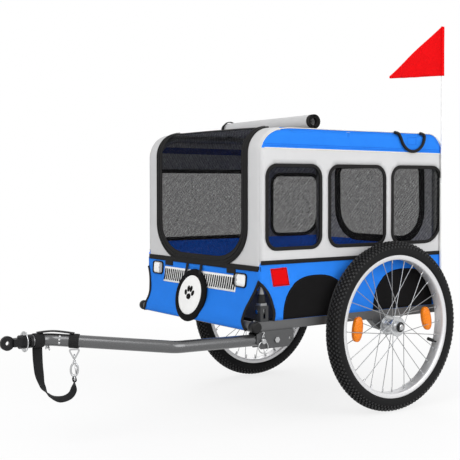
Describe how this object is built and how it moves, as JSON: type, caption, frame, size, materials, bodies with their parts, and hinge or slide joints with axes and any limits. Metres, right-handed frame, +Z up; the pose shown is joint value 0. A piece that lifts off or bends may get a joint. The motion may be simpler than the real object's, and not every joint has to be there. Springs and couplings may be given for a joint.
{
  "type": "dog bike trailer",
  "caption": "Two-wheeled dog trailer with a folding tube frame, cloth cabin with net windows, fold-under drawbar with hitch eye, safety strap and pennant.",
  "frame": {"origin": "On the ground, under the middle of the whole length, midway between the wheels.", "axes": "+X forward to the drawbar's hitch, +Y to the trailer's left, +Z up."},
  "size_m": [1.4, 0.7482, 1.1549],
  "materials": {
    "frame_paint": "dark grey powder coat",
    "bracket_steel": "zinc plated",
    "alloy": "satin alloy",
    "spoke_steel": "drawn wire",
    "bright_steel": "plated wire",
    "tyre_rubber": "black rubber",
    "black_plastic": "moulded",
    "floor_panel": "cloth covered board",
    "blue_cloth": "woven polyester",
    "grey_cloth": "woven polyester",
    "net_cloth": "open net",
    "black_webbing": "woven webbing",
    "white_cloth": "padded",
    "red_cloth": "thin nylon",
    "orange_lens": "prismatic lens",
    "white_pole": "glass fibre"
  },
  "bodies": {
    "chassis": {"left_rail": "frame_paint", "right_rail": "frame_paint", "front_cross_tube": "frame_paint", "rear_cross_tube": "frame_paint", "mid_cross_tube": "frame_paint", "tube_plugs": "black_plastic", "floor_board": "floor_panel", "left_axle_foot": "frame_paint", "right_axle_foot": "frame_paint", "left_axle": "spoke_steel", "right_axle": "spoke_steel", "left_knuckles": "bracket_steel", "right_knuckles": "bracket_steel", "knuckle_bolts": "bright_steel", "left_wall": "blue_cloth", "right_wall": "blue_cloth", "left_windows": "net_cloth", "right_windows": "net_cloth", "left_front_post": "grey_cloth", "right_front_post": "grey_cloth", "front_apron": "blue_cloth", "rear_wall": "grey_cloth", "rear_window": "net_cloth", "roof_cloth": "grey_cloth", "cover_roll": "grey_cloth", "padded_lamps": "white_cloth", "drawbar_bracket": "bracket_steel", "pivot_bolt": "bright_steel", "flag_sleeve": "grey_cloth"},
    "left_wheel": {"left_hub": "alloy", "left_rim": "alloy", "left_tyre": "tyre_rubber", "left_spokes": "spoke_steel", "left_reflectors": "orange_lens", "left_valve": "black_plastic"},
    "right_wheel": {"right_hub": "alloy", "right_rim": "alloy", "right_tyre": "tyre_rubber", "right_spokes": "spoke_steel", "right_reflectors": "orange_lens", "right_valve": "black_plastic"},
    "left_button": {"left_button": "bright_steel"},
    "right_button": {"right_button": "bright_steel"},
    "drawbar": {"drawbar_tube": "frame_paint", "hitch_fork": "black_plastic", "hitch_pin": "bright_steel", "strap_band": "black_webbing", "strap_ring": "bright_steel", "snap_hook": "bright_steel", "safety_strap": "black_webbing"},
    "hitch": {"hitch_eye": "black_plastic"},
    "lock_pin": {"lock_pin": "bright_steel"},
    "left_frame": {"left_side_frame": "frame_paint", "left_ferrules": "black_plastic"},
    "right_frame": {"right_side_frame": "frame_paint", "right_ferrules": "black_plastic"},
    "front_door": {"front_door": "net_cloth"},
    "badge": {"badge_disc": "black_webbing"},
    "pennant": {"flag_pole": "white_pole", "flag": "red_cloth"}
  },
  "joints": [
    {"name": "left_wheel_spin", "type": "hinge", "parent": "chassis", "child": "left_wheel", "pos_m": [-0.413, 0.336, 0.25], "axis": [0, 1, 0], "continuous": true},
    {"name": "right_wheel_spin", "type": "hinge", "parent": "chassis", "child": "right_wheel", "pos_m": [-0.413, -0.336, 0.25], "axis": [0, 1, 0], "continuous": true},
    {"name": "left_button_press", "type": "slide", "parent": "chassis", "child": "left_button", "axis": [0, -1, 0], "range_m": [0, 0.003], "stiffness_N_per_m": 900},
    {"name": "right_button_press", "type": "slide", "parent": "chassis", "child": "right_button", "axis": [0, 1, 0], "range_m": [0, 0.003], "stiffness_N_per_m": 900},
    {"name": "drawbar_fold", "type": "hinge", "parent": "chassis", "child": "drawbar", "pos_m": [-0.009, 0.2795, 0.243], "axis": [0, 1, 0], "range_deg": [0, 180], "deforming": ["safety_strap", "snap_hook", "strap_ring"]},
    {"name": "hitch_swivel", "type": "hinge", "parent": "drawbar", "child": "hitch", "pos_m": [0.637, 0.1, 0.272], "axis": [0, 0, 1], "range_deg": [-45, 45]},
    {"name": "lock_pin_pull", "type": "slide", "parent": "chassis", "child": "lock_pin", "axis": [0, 1, 0], "range_m": [0, 0.06]},
    {"name": "left_frame_fold", "type": "hinge", "parent": "chassis", "child": "left_frame", "pos_m": [-0.314, 0.277, 0.32], "axis": [1, 0, 0], "range_deg": [0, 90], "deforming": ["left_wall", "right_wall", "left_windows", "right_windows", "left_front_post", "right_front_post", "front_door", "front_apron", "rear_wall", "rear_window", "roof_cloth", "cover_roll", "padded_lamps", "badge_disc"]},
    {"name": "right_frame_fold", "type": "hinge", "parent": "chassis", "child": "right_frame", "pos_m": [-0.314, -0.277, 0.32], "axis": [-1, 0, 0], "range_deg": [0, 78]},
    {"name": "front_door_lift", "type": "hinge", "parent": "chassis", "child": "front_door", "pos_m": [-0.046, 0, 0.822], "axis": [0, 1, 0], "range_deg": [-100, 0]},
    {"name": "badge_swing", "type": "hinge", "parent": "chassis", "child": "badge", "pos_m": [0.045, -0.015, 0.434], "axis": [0, 1, 0], "range_deg": [-70, 0]},
    {"name": "pennant_lift", "type": "slide", "parent": "chassis", "child": "pennant", "axis": [0, 0, 1], "range_m": [0, 0.3]}
  ]
}
